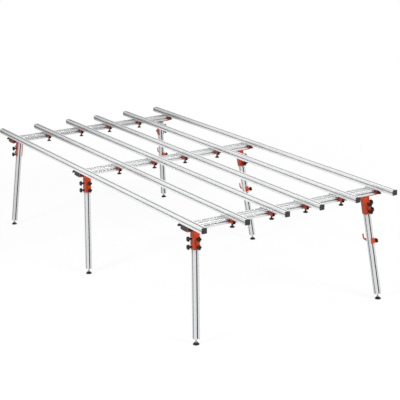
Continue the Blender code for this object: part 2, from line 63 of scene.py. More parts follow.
# Slots of the extruded profiles
SLOT_MOUTH = 0.008
SLOT_LIP = 0.0045
SLOT_WIDTH = 0.018
SLOT_FLOOR = 0.010
SLOT_DEPTH = 0.0105
EDGE_RADIUS = 0.0014
LIP_RADIUS = 0.0004
JOINER_LENGTH = 0.180
JOINER_RECESS = 0.0012
JOINER_SCREWS = (-0.070, -0.025, 0.025, 0.070)

# How the slots are darkened by painted shade: the depth at which it is darkest, how dark their floors still are on the
# rails and crossbeams and on the legs, and how much of it the slots that open along a profile's two directions have
SLOT_SHADE = 0.0006
TOP_FLOOR_SHADE = 0.6
LEG_FLOOR_SHADE = 0.5
RAIL_SLOT_SHARES = (0.15, 1.0)
BEAM_SLOT_SHARES = (0.05, 1.0)
LEG_SLOT_SHARES = (1.0, 0.25)

# Leg sockets
SOCKET_WALL = 0.004
SOCKET_CLEARANCE = 0.0006
SOCKET_HEIGHT = 0.128
SOCKET_CORNER = 0.010
SOCKET_BEND_OUTSIDE = 0.005
SOCKET_BEND_INSIDE = 0.001
SHEET_EDGE = 0.0004
SOCKET_PLATE = 0.004
PLATE_INBOARD = 0.040
PLATE_OUTBOARD = 0.074
PLATE_CORNER = 0.008
SOCKET_KNOB_DROPS = (0.061, 0.110)
BOLT_INBOARD = 0.031
BOLT_OUTBOARD = 0.060
BOLT_HEAD_RADIUS = 0.0062
BOLT_HEAD_LOW = -0.0088
BOLT_HEAD_HIGH = -0.0048

# Star knobs and slot nuts
KNOB_LENGTH = 0.032
KNOB_LOBE = 0.0042
KNOB_THREAD_PITCH = 0.001
KNOB_RADIUS = 0.0168
KNOB_NECK_RADIUS = 0.0060
STUD_RADIUS = 0.0033
NUT_THICKNESS = 0.0034
NUT_WIDTH = 0.0108
NUT_LENGTH = 0.013
NUT_BOTTOM = PROFILE / 2 - SLOT_LIP - MEETING_GAP - NUT_THICKNESS
LOBES = 5
AROUND = 60

# Rail clamps
CLAMP_BLOCK_WIDTH = 0.020
CLAMP_BLOCK_HEIGHT = 0.034
CLAMP_BLOCK_LENGTH = 0.034
CLAMP_BLOCK_START = 0.004
CLAMP_WALL = 0.0025
CLAMP_TONGUE = 0.045
CLAMP_TONGUE_ROOT = 0.020
CLAMP_TONGUE_TIP = 0.008
CLAMP_NOSE = 0.0035
CLAMP_NOSE_HEIGHT = 0.006
CLAMP_STUD_OFFSET = 0.015
HANGING_FACE = -0.058
HANGING_NECK = -0.047
HANGING_NECK_RADIUS = 0.0058
HANGING_LOBE = 0.0034
JAW_REACH = 0.032
JAW_THICKNESS = 0.0035
JAW_WIDTH = 0.016
SIDE_BLOCK_LENGTH = 0.014
TEE_NECK = -0.011
TEE_FACE = -0.025
TEE_RADIUS = 0.0155
TEE_NECK_RADIUS = 0.0045

# Feet and hooks
LEG_TOP_GAP = 0.012
STUD_SHOWN = 0.022
FOOT_STUD_RADIUS = 0.004
FOOT_THREAD_PITCH = 0.00125
HEX_RADIUS = 0.0075
HEX_LOW = 0.0045
HEX_HIGH = 0.0088
PAD_RADIUS = 0.0205
PAD_SHOULDER = 0.0125
HOOK_WALL = 0.003
HOOK_HEIGHT = 0.036
HOOK_TAB = 0.030
HOOK_REACH = 0.064
HOOK_ARM_RISE = 0.006
HOOK_ROOT = 0.024
HOOK_TIP = 0.011
HOOK_TURN = 0.030
HOOK_PLATE = 0.005

# Camera, found by matching points of the photograph
CAMERA_AZIMUTH = math.radians(61.09)
CAMERA_ELEVATION = math.radians(15.25)
CAMERA_ROLL = math.radians(-1.65)
CAMERA_DISTANCE = 8.54
CAMERA_TARGET = (0.0, 0.0, 0.6)
IMAGE_SIZE = 400
FOCAL_PIXELS = 1180.24
IMAGE_CENTRE = (175.45, 179.13)

# Where along the table the painted shade that turns its aluminium greyer starts, and where it is greyest
GREYER = (0.1, -1.6)

# Studio: how far from the middle the floor's glow starts to grow and where it is whole, its share up to there, half
# the floor's side, the world's level for rays that only light, and each lamp's name, place, side and watts
FLOOR_FADE = (2.2, 4.5)
FLOOR_GLOW = 0.88
FLOOR_HALF_SIDE = 40.0
WORLD_LEVEL = 0.35
LAMPS = (
    ("key_lamp", (1.6, -6.4, 5.6), 2.0, 380.0),
    ("fill_lamp", (6.0, 2.0, 5.0), 2.0, 260.0),
    ("far_lamp", (-2.0, 6.5, 5.0), 3.0, 160.0),
)


# Shapes: each is (points, faces, uv, relief). uv holds metres round and along the surface for every face corner, and
# relief says how a point stands: 1 on a rim that wears, 0 on a face, and down to -1 in a groove.

def skin(rings, relief=0.0):
    """The closed surface through a stack of closed rings, an array of rings by points by 3: point (i, j) is ring i's
    point j, quads join neighbours, and a flat face closes each end."""
    rings = np.asarray(rings, float)
    count, across = rings.shape[:2]
    i, j = np.meshgrid(np.arange(count - 1), np.arange(across), indexing="ij")
    k = (j + 1) % across
    quads = np.stack([i * across + j, i * across + k, (i + 1) * across + k, (i + 1) * across + j], -1).reshape(-1, 4)
    steps = np.linalg.norm(np.roll(rings[count // 2], -1, axis=0) - rings[count // 2], axis=1)
    u = np.concatenate([[0.0], np.cumsum(steps)])
    v = np.concatenate([[0.0], np.cumsum(np.linalg.norm(rings[1:] - rings[:-1], axis=2).mean(axis=1))])
    corner_u = np.stack([u[j], u[j + 1], u[j + 1], u[j]], -1).reshape(-1)
    corner_v = np.stack([v[i], v[i], v[i + 1], v[i + 1]], -1).reshape(-1)
    ends = [list(range(across))[::-1], list(range((count - 1) * across, count * across))]
    first_end = np.stack([u[:-1][::-1], np.zeros(across)], -1)
    last_end = np.stack([u[:-1], np.full(across, v[-1])], -1)
    uv = np.concatenate([np.stack([corner_u, corner_v], -1), first_end, last_end])
    return rings.reshape(-1, 3), quads.tolist() + ends, uv, np.broadcast_to(relief, (count, across)).reshape(-1)


def placed(shape, matrix):
    """The shape with its points multiplied by a 4 by 4 matrix."""
    points, faces, uv, relief = shape
    return points @ matrix[:3, :3].T + matrix[:3, 3], faces, uv, relief


def all_placed(shapes, matrix):
    """The shapes, each with its points multiplied by the matrix."""
    return [placed(shape, matrix) for shape in shapes]


def axes(x, y, z, origin=(0.0, 0.0, 0.0)):
    """The matrix whose columns are three directions and an origin."""
    matrix = np.eye(4)
    matrix[:3, 0], matrix[:3, 1], matrix[:3, 2], matrix[:3, 3] = x, y, z, origin
    return matrix


def shifted(x, y, z):
    """The matrix that moves by x, y, z."""
    return axes((1, 0, 0), (0, 1, 0), (0, 0, 1), (x, y, z))


ALONG_X = axes((0, 1, 0), (0, 0, 1), (1, 0, 0))
ALONG_Y = axes((1, 0, 0), (0, 0, -1), (0, 1, 0))
ACROSS_Y = axes((1, 0, 0), (0, 0, 1), (0, -1, 0))


def aimed(direction, origin=(0.0, 0.0, 0.0)):
    """The matrix whose Z is a direction, with X as level as it can be."""
    z = np.asarray(direction, float) / np.linalg.norm(direction)
    helper = (0.0, 0.0, 1.0) if abs(z[2]) < 0.9 else (0.0, 1.0, 0.0)
    x = np.cross(helper, z)
    x /= np.linalg.norm(x)
    return axes(x, np.cross(z, x), z, origin)


# Outlines

def rounded(points, radius, steps=3):
    """A closed outline with every corner swapped for the circular arc of that radius which touches both its sides: a
    quadratic curve from the first touching point to the second, weighted by the sine of half the corner's angle."""
    p = np.asarray(points, float)
    before, after = np.roll(p, 1, axis=0) - p, np.roll(p, -1, axis=0) - p
    before_length, after_length = np.linalg.norm(before, axis=1), np.linalg.norm(after, axis=1)
    before, after = before / before_length[:, None], after / after_length[:, None]
    half = np.arccos(np.clip((before * after).sum(axis=1), -1.0, 1.0)) / 2
    reach = np.broadcast_to(radius, len(p)) / np.tan(half)
    reach = np.minimum(reach, 0.48 * np.minimum(before_length, after_length))[:, None, None]
    start, middle, end = p[:, None] + before[:, None] * reach, p[:, None], p[:, None] + after[:, None] * reach
    t = np.linspace(0.0, 1.0, steps + 1)[None, :, None]
    weight = np.sin(half)[:, None, None]
    top = (1 - t) ** 2 * start + 2 * weight * t * (1 - t) * middle + t ** 2 * end
    return (top / ((1 - t) ** 2 + 2 * weight * t * (1 - t) + t ** 2)).reshape(-1, 2)


def inset(outline, distance):
    """An anticlockwise outline drawn in: each point moves along the mean of its two sides' inward normals, by the
    distance over the cosine of half the turn there."""
    tangent_in = outline - np.roll(outline, 1, axis=0)
    tangent_out = np.roll(outline, -1, axis=0) - outline
    tangent_in /= np.linalg.norm(tangent_in, axis=1)[:, None]
    tangent_out /= np.linalg.norm(tangent_out, axis=1)[:, None]
    mean = tangent_in + tangent_out
    mean /= np.linalg.norm(mean, axis=1)[:, None]
    stretch = np.clip((mean * tangent_in).sum(axis=1), 0.6, 1.0)[:, None]
    return outline + distance * np.stack([-mean[:, 1], mean[:, 0]], -1) / stretch


def rectangle(low, high):
    """Four corners, anticlockwise."""
    return [(low[0], low[1]), (high[0], low[1]), (high[0], high[1]), (low[0], high[1])]


def anticlockwise(outline):
    """The outline, turned round if its area, half the sum of the cross products of its sides, is negative."""
    x, y = np.asarray(outline, float).T
    area = (x * np.roll(y, -1) - y * np.roll(x, -1)).sum()
    return np.asarray(outline, float)[:: 1 if area > 0 else -1]


def at_heights(outlines, heights):
    """Rings from flat outlines, each lifted to its height."""
    return np.stack([np.column_stack([outline, np.full(len(outline), height)])
                     for outline, height in zip(outlines, heights)])


def slab(outline, low, high, edge=0.0005, corner=0.001, steps=3):
    """A plate from an outline: its corners are rounded, and its two rims are rounded over by a quarter circle."""
    smooth = rounded(anticlockwise(outline), corner, steps)
    turn = np.radians([90.0, 60.0, 30.0, 0.0])
    insets = edge * (1 - np.cos(turn))
    rises = edge * (1 - np.sin(turn))
    outlines = [inset(smooth, d) for d in insets] + [inset(smooth, d) for d in insets[::-1]]
    rim = np.array([0.0, 1.0, 1.0, 0.0, 0.0, 1.0, 1.0, 0.0])[:, None]
    return skin(at_heights(outlines, np.concatenate([low + rises, high - rises[::-1]])), rim)


def profile_outline(width, height, across_slots):
    """A slotted profile: four sides with T slots, their outer corners and slot lips rounded."""
    half_slot = [(SLOT_MOUTH / 2, 0.0), (SLOT_MOUTH / 2, SLOT_LIP), (SLOT_WIDTH / 2, SLOT_LIP),
                 (SLOT_FLOOR / 2, SLOT_DEPTH)]
    points, radii = [], []
    sides = ((width, height, across_slots), (height, width, (0.0,))) * 2
    for turn, (length, depth, slots) in enumerate(sides):
        side = [(-length / 2, 0.0)]
        for centre in slots:
            side += [(centre - across, inward) for across, inward in half_slot]
            side += [(centre + across, inward) for across, inward in half_slot[::-1]]
        angle = turn * math.pi / 2
        spin = np.array([[math.cos(angle), -math.sin(angle)], [math.sin(angle), math.cos(angle)]])
        points.append((np.array(side) - (0.0, depth / 2)) @ spin.T)
        radii += [EDGE_RADIUS] + [LIP_RADIUS] * (len(side) - 1)
    return rounded(np.concatenate(points), np.array(radii), 3)


# The slots' negative relief is what the aluminium's painted slot shade follows.
def profile_relief(outline, width, floor_shade, shares):
    """The relief of a profile's points: 1 on its outer corners, and elsewhere minus the depth below the outer face
    over SLOT_SHADE, down to -1. From the lips to the slot's floor it comes back to -floor_shade. The slots that open
    along the outline's first and second direction have the two shares of that."""
    across, up = width / 2 - np.abs(outline[:, 0]), PROFILE / 2 - np.abs(outline[:, 1])
    corner = np.maximum(across, up) < 0.9 * EDGE_RADIUS
    depth = np.minimum(across, up)
    past_lips = np.clip((depth - SLOT_LIP) / (SLOT_DEPTH - SLOT_LIP), 0.0, 1.0)
    share = np.where(across < up, *shares)
    return np.where(corner, 1.0, -share * np.clip(depth / SLOT_SHADE, 0.0, 1.0) * (1 - (1 - floor_shade) * past_lips))


def extruded(profile, width, ends, floor_shade, shares):
    """A profile carried straight along Z from the first end to the second, with its relief."""
    return skin(at_heights([profile, profile], ends), profile_relief(profile, width, floor_shade, shares))


# Turned pieces

def turned(rings, around=AROUND):
    """A solid about Z: ring i is a circle of radius rings[i][0] at height rings[i][1]."""
    angle = np.linspace(0.0, 2 * math.pi, around, endpoint=False)
    radius, height = np.array(rings, float).T
    circle = np.stack([np.cos(angle), np.sin(angle)], -1)
    points = radius[:, None, None] * circle[None]
    return skin(np.concatenate([points, np.broadcast_to(height[:, None, None], points.shape[:2] + (1,))], -1))


def star(rings, lobes=LOBES, around=AROUND):
    """A lobed solid about Z from rings of (radius, height, depth): at an angle the radius is less by depth times
    ((1 - cos(lobes * angle)) / 2) to the power 1.4, so that the lobes are broad and the valleys narrow."""
    angle = np.linspace(0.0, 2 * math.pi, around, endpoint=False)
    radius, height, depth = np.array(rings, float).T
    valley = ((1 - np.cos(lobes * angle)) / 2) ** 1.4
    r = radius[:, None] - depth[:, None] * valley[None]
    z = np.broadcast_to(height[:, None], r.shape)
    relief = depth[:, None] / max(depth) * (1 - 2 * valley[None])
    return skin(np.stack([r * np.cos(angle), r * np.sin(angle), z], -1), relief)


def threaded(radius, low, high, pitch, depth=0.0004, around=24):
    """A screw thread about Z: the radius falls by depth times how far (height / pitch - angle / full turn) is from a
    whole number, doubled."""
    heights = np.linspace(low, high, max(int((high - low) / pitch * 6), 8))
    angle = np.linspace(0.0, 2 * math.pi, around, endpoint=False)
    phase = heights[:, None] / pitch - angle[None] / (2 * math.pi)
    r = radius - depth * 2 * np.abs(phase - np.round(phase))
    z = np.broadcast_to(heights[:, None], r.shape)
    return skin(np.stack([r * np.cos(angle), r * np.sin(angle), z], -1), (r - radius) / depth)


def hexagon(radius, low, high, bevel=0.0008):
    """A hexagon head or nut: corners rounded a little, and both rims taken down by the bevel."""
    corners = [(radius * math.cos(k * math.pi / 3), radius * math.sin(k * math.pi / 3)) for k in range(6)]
    return slab(corners, low, high, bevel, 0.0006, 2)


def slot_nut(length, bottom):
    """A flat nut for a profile's slot, from its underside up, with its length along Y."""
    corners = rectangle((-NUT_WIDTH / 2, -length / 2), (NUT_WIDTH / 2, length / 2))
    return slab(corners, bottom, bottom + NUT_THICKNESS, 0.0003, 0.0006)


def star_knob(tip, seat):
    """The head and the stud of a star knob along Z: a round neck that bears on the seat and flares into a five-lobed
    head with a rounded rim and a sunk middle."""
    top = seat + KNOB_LENGTH
    neck, reach = KNOB_NECK_RADIUS, KNOB_RADIUS
    head = star([
        (neck - 0.0004, seat, 0.0), (neck, seat + 0.0006, 0.0), (neck, seat + 0.0110, 0.0),
        (neck + 0.0008, seat + 0.0136, 0.0003), (neck + 0.0034, seat + 0.0162, 0.0012),
        (reach - 0.0034, seat + 0.0188, 0.0030), (reach - 0.0010, seat + 0.0204, 0.0040),
        (reach, seat + 0.0226, KNOB_LOBE), (reach, seat + 0.0272, KNOB_LOBE),
        (reach - 0.0005, seat + 0.0292, KNOB_LOBE), (reach - 0.0019, seat + 0.0310, 0.0040),
        (reach - 0.0038, top - 0.0002, 0.0034), (reach - 0.0060, top, 0.0024),
        (0.0068, top, 0.0), (0.0062, top - 0.0010, 0.0), (0.0020, top - 0.0013, 0.0),
    ])
    return head, threaded(STUD_RADIUS, tip, seat + 0.001, KNOB_THREAD_PITCH)


def hanging_head(radius, face, neck, neck_radius, stem_top, stem_radius):
    """A lobed knob that hangs on a stem: a rounded rim and a sunk middle below, a cone above that flows into the neck,
    and a stem that tapers from the neck to its top."""
    rise = neck - face
    return star([
        (0.0024, face + 0.0008, 0.0), (0.0058, face + 0.0008, 0.0), (0.0064, face, 0.0),
        (radius - 0.0022, face, HANGING_LOBE * 0.8), (radius - 0.0006, face + 0.0006, HANGING_LOBE),
        (radius, face + 0.0018, HANGING_LOBE), (radius - 0.0002, face + 0.0034, HANGING_LOBE),
        (radius - 0.0014, face + 0.0050, HANGING_LOBE * 0.9),
        (radius * 0.58 + neck_radius * 0.42, face + 0.66 * rise, HANGING_LOBE * 0.3),
        (neck_radius + 0.0012, face + 0.88 * rise, 0.0), (neck_radius + 0.0002, neck, 0.0),
        (neck_radius, neck + 0.002, 0.0), (stem_radius, stem_top, 0.0),
    ])


# Materials

def node_tree(name):
    """A new material's node tree with its Principled BSDF, and a helper that adds a node with values and links."""
    made = bpy.data.materials.new(name)
    made.use_nodes = True
    tree = made.node_tree
    shader = tree.nodes["Principled BSDF"]

    def add(kind, values=None, **links):
        node = tree.nodes.new(kind)
        for key, value in (values or {}).items():
            if key in node.inputs:
                node.inputs[key].default_value = value
            else:
                setattr(node, key, value)
        for key, output in links.items():
            tree.links.new(output, node.inputs[key.replace("_", " ")])
        return node

    return made, tree, shader, add


def ramp(add, factor, stops):
    """A colour ramp from (place, grey or colour) stops."""
    node = add("ShaderNodeValToRGB", Fac=factor)
    elements = node.color_ramp.elements
    while len(elements) < len(stops):
        elements.new(0.5)
    for element, (place, value) in zip(elements, stops):
        element.position = place
        colour = (value,) * 3 if isinstance(value, float) else value
        element.color = (*colour, 1.0)
    return node.outputs["Color"]


def mix(tree, share, first, second, blend="MIX"):
    """The colour that goes from the first to the second, or to their product, as the share goes from 0 to 1."""
    node = tree.nodes.new("ShaderNodeMix")
    node.data_type = "RGBA"
    node.blend_type = blend
    tree.links.new(share, node.inputs[0])
    for socket, colour in ((node.inputs[6], first), (node.inputs[7], second)):
        if isinstance(colour, tuple):
            socket.default_value = (*colour, 1.0)
        else:
            tree.links.new(colour, socket)
    return node.outputs[2]


def groove_and_rim(add):
    """Two shares from the relief: how deep in a groove a point lies, and how far out on a rim."""
    relief = add("ShaderNodeAttribute", {"attribute_name": "relief"}).outputs["Fac"]
    groove = add("ShaderNodeMapRange", {"From Min": 0.0, "From Max": -1.0}, Value=relief).outputs["Result"]
    rim = add("ShaderNodeMapRange", {"From Min": 0.0, "From Max": 1.0}, Value=relief).outputs["Result"]
    return groove, rim


def product(tree, add, first, second):
    """Two shares multiplied."""
    node = add("ShaderNodeMath", {"operation": "MULTIPLY"})
    tree.links.new(first, node.inputs[0])
    tree.links.new(second, node.inputs[1])
    return node.outputs[0]


def noise(add, place, scale, detail, roughness=0.5):
    """The share that a noise has at a place."""
    values = {"Scale": scale, "Detail": detail, "Roughness": roughness}
    return add("ShaderNodeTexNoise", values, Vector=place).outputs["Fac"]


def dress(tree, shader, colour, roughness, bump):
    """Joins a colour, a roughness and a bump to the shader."""
    for name, output in (("Base Color", colour), ("Roughness", roughness), ("Normal", bump.outputs["Normal"])):
        tree.links.new(output, shader.inputs[name])


def anodised(name, colour, far_shade_colour, painted_slot_shade, roughness, metallic):
    """Extruded and anodised aluminium: hair-fine die lines run along the piece, the tone drifts softly, painted shade
    turns it greyer towards the table's far end, painted shade darkens the slots by their tint, and the outer corners
    are rubbed bright."""
    made, tree, shader, add = node_tree(name)
    uv = add("ShaderNodeUVMap", {"uv_map": "metres"}).outputs["UV"]
    lines = add("ShaderNodeMapping", {"Scale": (2600.0, 9.0, 1.0)}, Vector=uv).outputs["Vector"]
    die = noise(add, lines, 1.0, 3.0, 0.6)
    place = add("ShaderNodeTexCoord").outputs["Object"]
    drift = noise(add, place, 5.0, 2.0)
    darker = tuple(value * 0.92 for value in colour)
    brighter = tuple(min(value * 1.12, 0.95) for value in colour)
    lined = ramp(add, product(tree, add, die, drift), [(0.12, darker), (0.40, colour)])
    along = add("ShaderNodeSeparateXYZ", Vector=place).outputs["X"]
    # Painted shade: the colour goes towards the far colour as X runs to the table's far end.
    far = add("ShaderNodeMapRange", {"From Min": GREYER[0], "From Max": GREYER[1]}, Value=along).outputs["Result"]
    plain = mix(tree, product(tree, add, far, far), lined, far_shade_colour)
    groove, rim = groove_and_rim(add)
    # Painted shade: the slots are multiplied towards their tint by how deep they lie.
    with_painted_slot_shade = mix(tree, groove, plain, (painted_slot_shade,) * 3, "MULTIPLY")
    shine = ramp(add, die, [(0.25, roughness + 0.06), (0.75, roughness - 0.05)])
    bump = add("ShaderNodeBump", {"Strength": 0.10, "Distance": 0.00005}, Height=die)
    dress(tree, shader, mix(tree, rim, with_painted_slot_shade, brighter), shine, bump)
    shader.inputs["Metallic"].default_value = metallic
    return made


def powder_coat(name, colour, dark, worn):
    """Powder-coated steel: a fine orange-peel skin, a slow drift of tone, and rims where the coat is rubbed paler in
    patches."""
    made, tree, shader, add = node_tree(name)
    place = add("ShaderNodeTexCoord").outputs["Object"]
    peel = noise(add, place, 900.0, 2.0)
    drift = noise(add, place, 26.0, 4.0, 0.65)
    patches = noise(add, place, 140.0, 3.0)
    coat = ramp(add, drift, [(0.30, dark), (0.62, colour)])
    rubbed = product(tree, add, groove_and_rim(add)[1], ramp(add, patches, [(0.42, 0.0), (0.66, 1.0)]))
    shine = ramp(add, drift, [(0.35, 0.36), (0.70, 0.48)])
    bump = add("ShaderNodeBump", {"Strength": 0.18, "Distance": 0.0001}, Height=peel)
    dress(tree, shader, mix(tree, rubbed, coat, worn), shine, bump)
    shader.inputs["Specular IOR Level"].default_value = 0.30
    return made


def moulded(name, colour, light, roughness, specular):
    """Moulded plastic: a fine spark grain, faint grey scuffs where hands and floors rub, paler rims, and dust in the
    valleys. On the black plastic the paler grey of scuffs and rims also stands in for painted highlights."""
    made, tree, shader, add = node_tree(name)
    place = add("ShaderNodeTexCoord").outputs["Object"]
    grain = add("ShaderNodeTexVoronoi", {"Scale": 1500.0}, Vector=place).outputs["Distance"]
    scuff = noise(add, place, 70.0, 6.0, 0.7)
    groove, rim = groove_and_rim(add)
    plain = ramp(add, scuff, [(0.45, colour), (0.80, light)])
    scuffed = ramp(add, scuff, [(0.35, 0.1), (0.70, 0.9)])
    rubbed = mix(tree, product(tree, add, rim, scuffed), plain, light)
    dusty = tuple(value * 1.6 for value in colour)
    shine = ramp(add, scuff, [(0.35, roughness - 0.06), (0.75, roughness + 0.12)])
    bump = add("ShaderNodeBump", {"Strength": 0.12, "Distance": 0.0001}, Height=grain)
    dress(tree, shader, mix(tree, groove, rubbed, dusty), shine, bump)
    shader.inputs["Specular IOR Level"].default_value = specular
    return made


def zinc(name):
    """Zinc-plated steel of the studs, nuts and bolts: a mottled grey metal, darker in the threads."""
    made, tree, shader, add = node_tree(name)
    place = add("ShaderNodeTexCoord").outputs["Object"]
    mottle = noise(add, place, 160.0, 5.0, 0.7)
    plain = ramp(add, mottle, [(0.30, (0.26, 0.26, 0.27)), (0.70, (0.46, 0.46, 0.47))])
    shine = ramp(add, mottle, [(0.30, 0.42), (0.70, 0.28)])
    bump = add("ShaderNodeBump", {"Strength": 0.15, "Distance": 0.00005}, Height=mottle)
    dress(tree, shader, mix(tree, groove_and_rim(add)[0], plain, (0.10, 0.10, 0.105)), shine, bump)
    shader.inputs["Metallic"].default_value = 1.0
    return made


# In each aluminium, the second colour is painted shade towards the table's far end, and the fourth value tints the
# slots with painted shade.
RAIL_ALUMINIUM = anodised("rail_aluminium", (0.86, 0.865, 0.87), (0.40, 0.402, 0.405), 0.36, 0.30, 0.78)
BEAM_ALUMINIUM = anodised("crossbeam_aluminium", (0.74, 0.745, 0.75), (0.50, 0.502, 0.506), 0.72, 0.24, 0.76)
LEG_ALUMINIUM = anodised("leg_aluminium", (0.70, 0.705, 0.715), (0.58, 0.584, 0.59), 0.12, 0.32, 0.70)
ORANGE_PAINT = powder_coat("orange_powder_coat", (0.60, 0.056, 0.009), (0.46, 0.036, 0.006), (0.72, 0.16, 0.06))
# The clamps wear the orange coat darkened by painted shade, for the shade that falls on them under the rails.
SHADED_CLAMP_PAINT = powder_coat("clamp_shaded_powder_coat", (0.34, 0.034, 0.010), (0.24, 0.022, 0.006), (0.52, 0.11, 0.05))
# The black plastic's paler grey, on scuffs and rubbed rims, is wear and also stands in for painted highlights on the
# knobs.
BLACK_PLASTIC = moulded("black_plastic", (0.003, 0.003, 0.003), (0.030, 0.030, 0.031), 0.40, 0.20)
CAP_PLASTIC = moulded("cap_plastic", (0.036, 0.036, 0.037), (0.060, 0.060, 0.062), 0.55, 0.16)
ZINC_STEEL = zinc("zinc_steel")


def piece(name, shapes, look, body, nodes=()):
    """One object from shapes: it wears a material, rides on a body, and stands for the nodes it names."""
    starts = np.cumsum([0] + [len(shape[0]) for shape in shapes])
    points = np.concatenate([shape[0] for shape in shapes])
    faces = [[corner + int(start) for corner in face] for shape, start in zip(shapes, starts) for face in shape[1]]
    mesh = bpy.data.meshes.new(name)
    mesh.from_pydata(points, [], faces)
    layer = mesh.uv_layers.new(name="metres")
    layer.data.foreach_set("uv", np.concatenate([shape[2] for shape in shapes]).astype(np.float32).ravel())
    relief = mesh.attributes.new("relief", "FLOAT", "POINT")
    relief.data.foreach_set("value", np.concatenate([shape[3] for shape in shapes]).astype(np.float32))
    outward = bmesh.new()
    outward.from_mesh(mesh)
    bmesh.ops.recalc_face_normals(outward, faces=outward.faces)
    outward.to_mesh(mesh)
    outward.free()
    mesh.shade_smooth()
    mesh.set_sharp_from_angle(angle=math.radians(32.0))
    mesh.materials.append(look)
    made = bpy.data.objects.new(name, mesh)
    bpy.context.scene.collection.objects.link(made)
    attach(made, body)
    if nodes:
        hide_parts(*nodes)
    return made


# Where things are, from the frame

JOINTS = {joint["name"]: joint for joint in frame["record"]["behaviour"]["joints"]}
RAILS = range(1, 7)
OUTER_RAILS = (1, 6)
CROSSBEAMS = (1, 2, 3)
SIDES = (("front", -1), ("back", 1))


def middle(node):
    """The middle of a node's box."""
    low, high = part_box(node)
    return (np.array(low) + np.array(high)) / 2


CROSSBEAM_X = {n: middle(f"crossbeam_{n}")[0] for n in CROSSBEAMS}
CROSSBEAM_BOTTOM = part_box("crossbeam_1")[0][2]
RAIL_Y = {n: middle(f"rail_{n}_near_half")[1] for n in RAILS}
RAIL_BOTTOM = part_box("rail_1_near_half")[0][2]
RAIL_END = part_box("rail_1_near_half")[1][0]
CROSSBEAM_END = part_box("crossbeam_1")[1][1]


def leg_matrix(number, word, side_y):
    """A leg's own frame at the crossbeam's underside: Z runs up the leg, and X points along the rails."""
    up = -np.array(JOINTS[f"leg_{number}_{word}_slide"]["axis"])
    up /= np.linalg.norm(up)
    x = np.cross((0.0, 1.0, 0.0), up)
    x /= np.linalg.norm(x)
    return axes(x, np.cross(up, x), up, (CROSSBEAM_X[number], side_y * SOCKET_Y, CROSSBEAM_BOTTOM))


# Pieces

def end_cap(half_width, half_height, thickness, inset_size=0.0004):
    """A moulded end cap from its seat up: rounded corners, a rounded rim, and a face that crowns very slightly."""
    outline = rounded(rectangle((-half_width + inset_size, -half_height + inset_size),
                                (half_width - inset_size, half_height - inset_size)), 0.0030, 5)
    insets = [0.0, 0.0, 0.0001, 0.0004, 0.0010, 0.0024]
    heights = [-0.0008, thickness - 0.0013, thickness - 0.0008, thickness - 0.0004, thickness - 0.0001, thickness]
    relief = np.array([0.0, 0.0, 0.6, 1.0, 0.4, 0.0])[:, None]
    return skin(at_heights([inset(outline, d) for d in insets], heights), relief)


def build_rails():
    """The twelve rail halves, their end caps, and the bars that join them."""
    profile = profile_outline(PROFILE, PROFILE, (0.0,))
    cap = end_cap(PROFILE / 2, PROFILE / 2, CAP_THICKNESS)
    floor, face = PROFILE / 2 - SLOT_DEPTH + MEETING_GAP, PROFILE / 2 - JOINER_RECESS
    half = SLOT_MOUTH / 2 - MEETING_GAP
    bar = slab(rectangle((-JOINER_LENGTH / 2, -half), (JOINER_LENGTH / 2, half)), floor, face, 0.0003, 0.0008)
    screw = turned([(0.0028, face - 0.0006), (0.0028, face + 0.0002), (0.0025, face + 0.0004),
                    (0.0016, face + 0.0004), (0.0014, face - 0.0004)], 24)
    for number in RAILS:
        body = f"rail_{number}"
        y, z = RAIL_Y[number], RAIL_BOTTOM + PROFILE / 2
        for word, side in (("near", 1), ("far", -1)):
            end = side * (RAIL_END - CAP_THICKNESS)
            ends = sorted((side * MEETING_GAP / 2, end))
            rail = extruded(profile, PROFILE, ends, TOP_FLOOR_SHADE, RAIL_SLOT_SHARES)
            piece(f"{body}_{word}_profile", [placed(rail, shifted(0.0, y, z) @ ALONG_X)], RAIL_ALUMINIUM, body,
                  [f"{body}_{word}_half"])
            turn = shifted(end, y, z) @ axes((0, side, 0), (0, 0, 1), (side, 0, 0))
            piece(f"{body}_{word}_cap", [placed(cap, turn)], CAP_PLASTIC, body)
        bars = []
        for side in (-1, 1):
            bars.append(placed(bar, shifted(0.0, y, z) @ axes((side, 0, 0), (0, 0, 1), (0, side, 0))))
            bars += [placed(screw, shifted(x, y, z) @ aimed((0, side, 0))) for x in JOINER_SCREWS]
        piece(f"{body}_joiner_bars", bars, ZINC_STEEL, body)


def build_crossbeams():
    """The three crossbeams and their grey end caps."""
    slot_offset = CROSSBEAM_WIDTH / 4
    profile = profile_outline(CROSSBEAM_WIDTH, PROFILE, (-slot_offset, slot_offset))
    end = CROSSBEAM_END - CAP_THICKNESS
    beam = extruded(profile, CROSSBEAM_WIDTH, (-end, end), TOP_FLOOR_SHADE, BEAM_SLOT_SHARES)
    cap = end_cap(CROSSBEAM_WIDTH / 2, PROFILE / 2, CAP_THICKNESS)
    for number in CROSSBEAMS:
        to_place = shifted(CROSSBEAM_X[number], 0.0, CROSSBEAM_BOTTOM + PROFILE / 2)
        piece(f"crossbeam_{number}_profile", [placed(beam, to_place @ ALONG_Y)], BEAM_ALUMINIUM, "frame",
              [f"crossbeam_{number}"])
        caps = []
        for side in (-1, 1):
            turn = to_place @ shifted(0.0, side * end, 0.0) @ axes((-side, 0, 0), (0, 0, 1), (0, side, 0))
            caps.append(placed(cap, turn))
        piece(f"crossbeam_{number}_caps", caps, CAP_PLASTIC, "frame")


